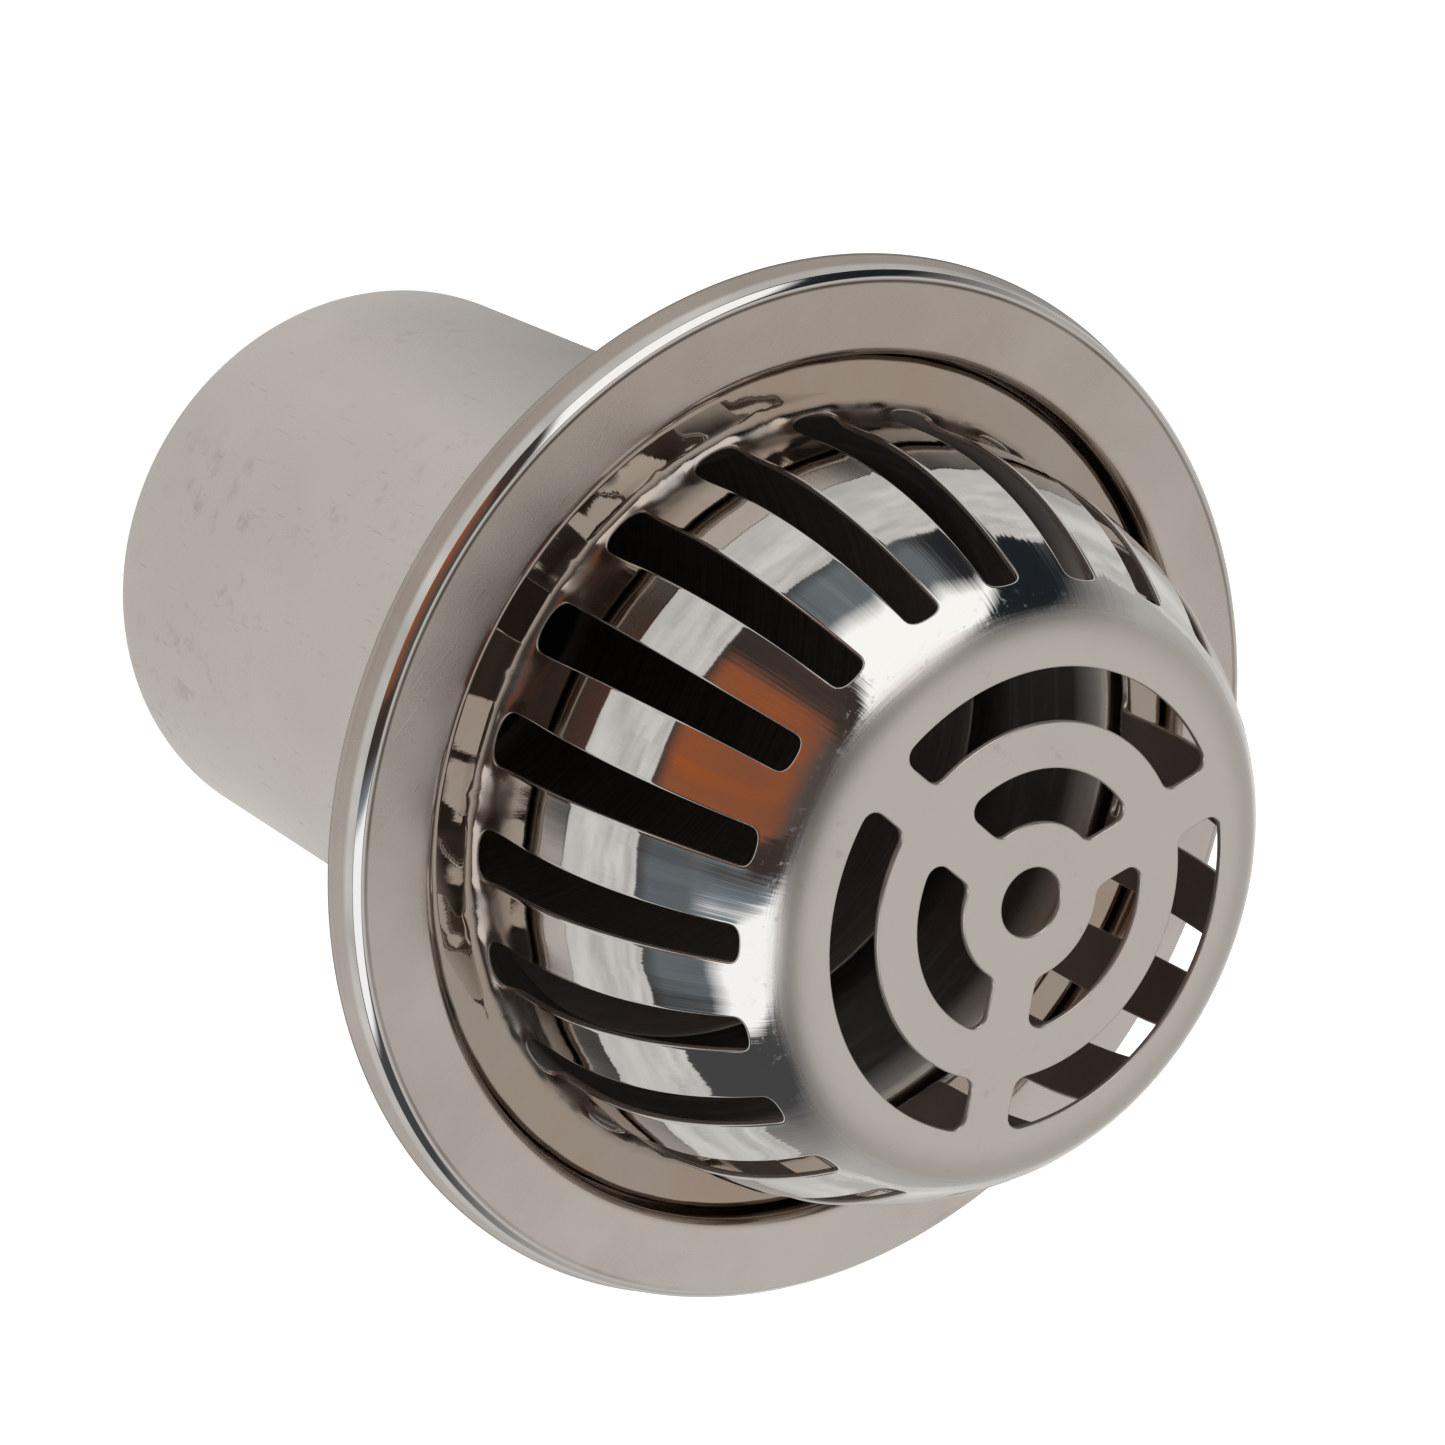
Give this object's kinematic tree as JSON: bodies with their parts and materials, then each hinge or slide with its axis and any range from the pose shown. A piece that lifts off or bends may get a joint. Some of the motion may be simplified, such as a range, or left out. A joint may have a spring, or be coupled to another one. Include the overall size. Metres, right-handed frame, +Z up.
{
  "type": "roof drain",
  "caption": "Stainless steel roof or balcony drain: a flanged body with a recessed seat, a plain outlet pipe below it and a loose, slotted dome strainer that lifts out.",
  "frame": {"origin": "centre of the outlet pipe's open lower end, which is also the bottom centre of the bounding box", "axes": "+Z up along the drain's axis, from the pipe towards the strainer; one spoke of the strainer's top plate points along -Y"},
  "size_m": [0.1668, 0.1668, 0.196],
  "materials": {
    "satin_steel": "satin stainless steel",
    "pipe_steel": "satin stainless steel tube, a little scuffed",
    "weld_steel": "dull weld metal",
    "polished_steel": "mirror-polished stainless steel sides, satin top"
  },
  "bodies": {
    "drain_body": {"flange_body": "satin_steel", "outlet_pipe": "pipe_steel", "weld_bead": "weld_steel"},
    "strainer": {"strainer_dome": "polished_steel"}
  },
  "joints": [
    {"name": "strainer_lift", "type": "slide", "parent": "drain_body", "child": "strainer", "axis": [0, 0, 1], "range_m": [0, 0.08]}
  ]
}
